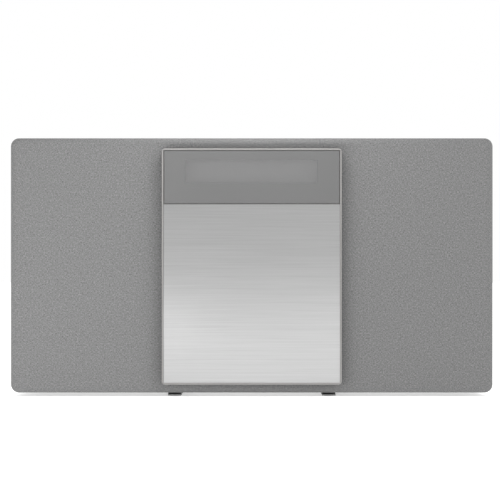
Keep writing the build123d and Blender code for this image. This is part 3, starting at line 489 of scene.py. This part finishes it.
# ------------------------------------------------------------------ hard parts
def refined(node, width, crowned=False):
    """A copy of a CAD part with its edges broken by a small round.

    Its flat faces are shaded flat, unless it is thin sheet with a slight crown."""
    mesh = frame["nodes"][node].data.copy()
    form = bmesh.new()
    form.from_mesh(mesh)
    bmesh.ops.remove_doubles(form, verts=form.verts, dist=WELD)
    bmesh.ops.dissolve_limit(form, angle_limit=math.radians(1.0), verts=form.verts, edges=form.edges)
    form.to_mesh(mesh)
    form.free()
    piece = add_piece(node + "_skin", mesh, BODY_OF[node], SLOT_OF[node])
    edge = piece.modifiers.new("edge", "BEVEL")
    edge.width = width * MM
    edge.segments = EDGE_SEGMENTS
    edge.limit_method = "ANGLE"
    edge.angle_limit = math.radians(EDGE_ANGLE)
    edge.use_clamp_overlap = True
    applied(piece)
    smooth(piece.data)
    if not crowned:
        flat = piece.modifiers.new("flat", "WEIGHTED_NORMAL")
        flat.keep_sharp = True
        flat.weight = 100
        applied(piece)
    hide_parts(node)


def make_hard_parts():
    """Parts seen close to, each with the width of its edge rounds in millimetres."""
    for node, width in (("door_frame", 0.15), ("door_window", 0.2), ("centre_panel", 0.25),
                        ("stand", 0.4)):
        refined(node, width)
    refined("door_trim_plate", 0.1, crowned=True)


# ------------------------------------------------------------------ key symbols
# Shapes are in millimetres from the middle of a key, x to the right and y to the back.
def bar(x, y, width, height):
    return [[(x - width / 2, y - height / 2), (x + width / 2, y - height / 2),
             (x + width / 2, y + height / 2), (x - width / 2, y + height / 2)]]


def wedge(x, y, size, turn=0.0):
    """A triangle pointing right, or turned by an angle."""
    corners = [(math.cos(turn + step), math.sin(turn + step))
               for step in (0, 2 * math.pi / 3, 4 * math.pi / 3)]
    return [[(x + size * across, y + size * up) for across, up in corners]]


def arc(x, y, radius, width, start, end):
    """A curved stroke between two angles, in degrees."""
    steps = 16
    strokes = []
    for step in range(steps):
        near_end, far_end = (math.radians(start + (end - start) * (step + more) / steps)
                             for more in (0, 1))
        strokes.append([(x + r * math.cos(a), y + r * math.sin(a))
                        for r, a in ((radius - width, near_end), (radius, near_end),
                                     (radius, far_end), (radius - width, far_end))])
    return strokes


SYMBOLS = {
    "power": arc(0, 0, 1.7, 0.35, 125, 415) + bar(0, 1.2, 0.35, 1.6),
    "source": arc(0, 0, 1.7, 0.35, 35, 325) + bar(1.6, 0, 2.2, 0.35) + wedge(0.5, 0, 0.8, math.pi),
    "pairing": arc(-1.2, 0, 1.2, 0.35, -50, 50) + arc(-1.2, 0, 2.2, 0.35, -50, 50)
    + arc(-1.2, 0, 3.2, 0.35, -50, 50),
    "volume_down": bar(0, 0, 2.8, 0.45),
    "volume_up": bar(0, 0, 2.8, 0.45) + bar(0, 0.81, 0.45, 1.17) + bar(0, -0.81, 0.45, 1.17),
    "previous": bar(-2.1, 0, 0.4, 2.6) + wedge(-0.3, 0, 1.4, math.pi) + wedge(1.8, 0, 1.4, math.pi),
    "next": bar(2.1, 0, 0.4, 2.6) + wedge(0.3, 0, 1.4) + wedge(-1.8, 0, 1.4),
    "play_stop": wedge(-1.8, 0, 1.5) + bar(1.7, 0, 2.2, 2.2),
    "open_close": wedge(0, 0.5, 1.5, math.pi / 2) + bar(0, -1.1, 2.6, 0.45),
}


def make_symbols():
    """A printed symbol on each key, standing a tenth of a millimetre proud."""
    for name, shapes in SYMBOLS.items():
        low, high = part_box("key_" + name)
        middle = (low + high) / 2
        form = bmesh.new()
        for shape in shapes:
            corners = [form.verts.new((middle.x + x * MM, middle.y + y * MM, high.z + SYMBOL_HEIGHT))
                       for x, y in shape]
            face = form.faces.new(corners)
            face.normal_update()
            if face.normal.z < 0:
                face.normal_flip()
            raised = bmesh.ops.extrude_face_region(form, geom=[face])
            lower = [item for item in raised["geom"] if isinstance(item, bmesh.types.BMVert)]
            bmesh.ops.translate(form, verts=lower, vec=(0, 0, -2 * SYMBOL_HEIGHT))
        bmesh.ops.recalc_face_normals(form, faces=form.faces)
        mesh = bpy.data.meshes.new("symbol_" + name)
        form.to_mesh(mesh)
        form.free()
        add_piece("symbol_" + name, mesh, name + "_key", "black_plastic")


def finish_cad_parts():
    """Give every CAD part that still shows its slot's material."""
    for node, part in frame["nodes"].items():
        part.data.materials.clear()
        part.data.materials.append(MATERIALS[SLOT_OF[node]])


# ------------------------------------------------------------------ studio
WORLD_LEVEL = 1.0
FLOOR_GLOW = 0.5
# lights that show in glossy surfaces
MIRRORED = ("top",)
# name, place, aim, size, watts
LIGHTS = (
    ("top", (0.0, -0.3, 1.3), (0, 0, 0.1), (1.2, 0.8), 2.0),
    ("upper_right", (0.9, -0.9, 1.0), (0, 0, 0.1), (0.6, 0.6), 7.0),
    ("low_right", (0.6, -0.8, 0.12), (0.1, 0, 0.05), (0.4, 0.2), 0.2),
    ("near_above", (0.0, -0.12, 0.36), (0, -0.06, 0.2), (0.16, 0.03), 0.3),
    ("near_low_left", (-0.3, -0.4, 0.03), (-0.15, 0, 0.05), (0.3, 0.05), 0.75),
)


def make_floor():
    """A pale tabletop, lit a little from below."""
    mesh = bpy.data.meshes.new("floor")
    form = bmesh.new()
    bmesh.ops.create_circle(form, cap_ends=True, segments=96, radius=9.0)
    form.to_mesh(mesh)
    form.free()
    floor = bpy.data.objects.new("floor", mesh)
    bpy.context.scene.collection.objects.link(floor)
    paint = Shader("floor_white", Roughness=0.9, Emission_Color=(1, 1, 1, 1),
                   Emission_Strength=FLOOR_GLOW)
    paint.colours(paint.noise(0.5), grey(0.93), grey(0.95))
    mesh.materials.append(paint.material)


def add_light(name, place, aim, size, power):
    """A rectangular light that the camera doesn't see."""
    lamp = bpy.data.lights.new(name, "AREA")
    lamp.shape = "RECTANGLE"
    lamp.size, lamp.size_y = size
    lamp.energy = power
    light = bpy.data.objects.new(name, lamp)
    bpy.context.scene.collection.objects.link(light)
    light.location = place
    light.rotation_euler = (Vector(aim) - Vector(place)).to_track_quat("-Z", "Y").to_euler()
    light.visible_camera = False
    light.visible_glossy = name in MIRRORED


def make_studio():
    """Even white surroundings with a few soft area lights."""
    world = bpy.data.worlds.new("studio")
    bpy.context.scene.world = world
    world.use_nodes = True
    sky = world.node_tree.nodes["Background"]
    sky.inputs["Color"].default_value = (1, 1, 1, 1)
    sky.inputs["Strength"].default_value = WORLD_LEVEL
    for light in LIGHTS:
        add_light(*light)
    bpy.context.scene.view_settings.view_transform = "Standard"


def make_camera():
    """Level and straight on, a little left of the middle, through a long lens."""
    distance = 2.6
    view_width = 0.4256
    left = -1.5 * MM
    height = 124.4 * MM
    sensor = 36.0
    data = bpy.data.cameras.new("camera")
    data.sensor_width = sensor
    data.lens = sensor * distance / view_width
    camera = bpy.data.objects.new("camera", data)
    bpy.context.scene.collection.objects.link(camera)
    camera.location = (left, CLOTH_LOW.y + PILLOW_RADIUS - distance, height)
    camera.rotation_euler = (math.pi / 2, 0, 0)
    bpy.context.scene.camera = camera


make_camera()
make_studio()
make_floor()
finish_cad_parts()
make_cloth()
make_hard_parts()
make_symbols()
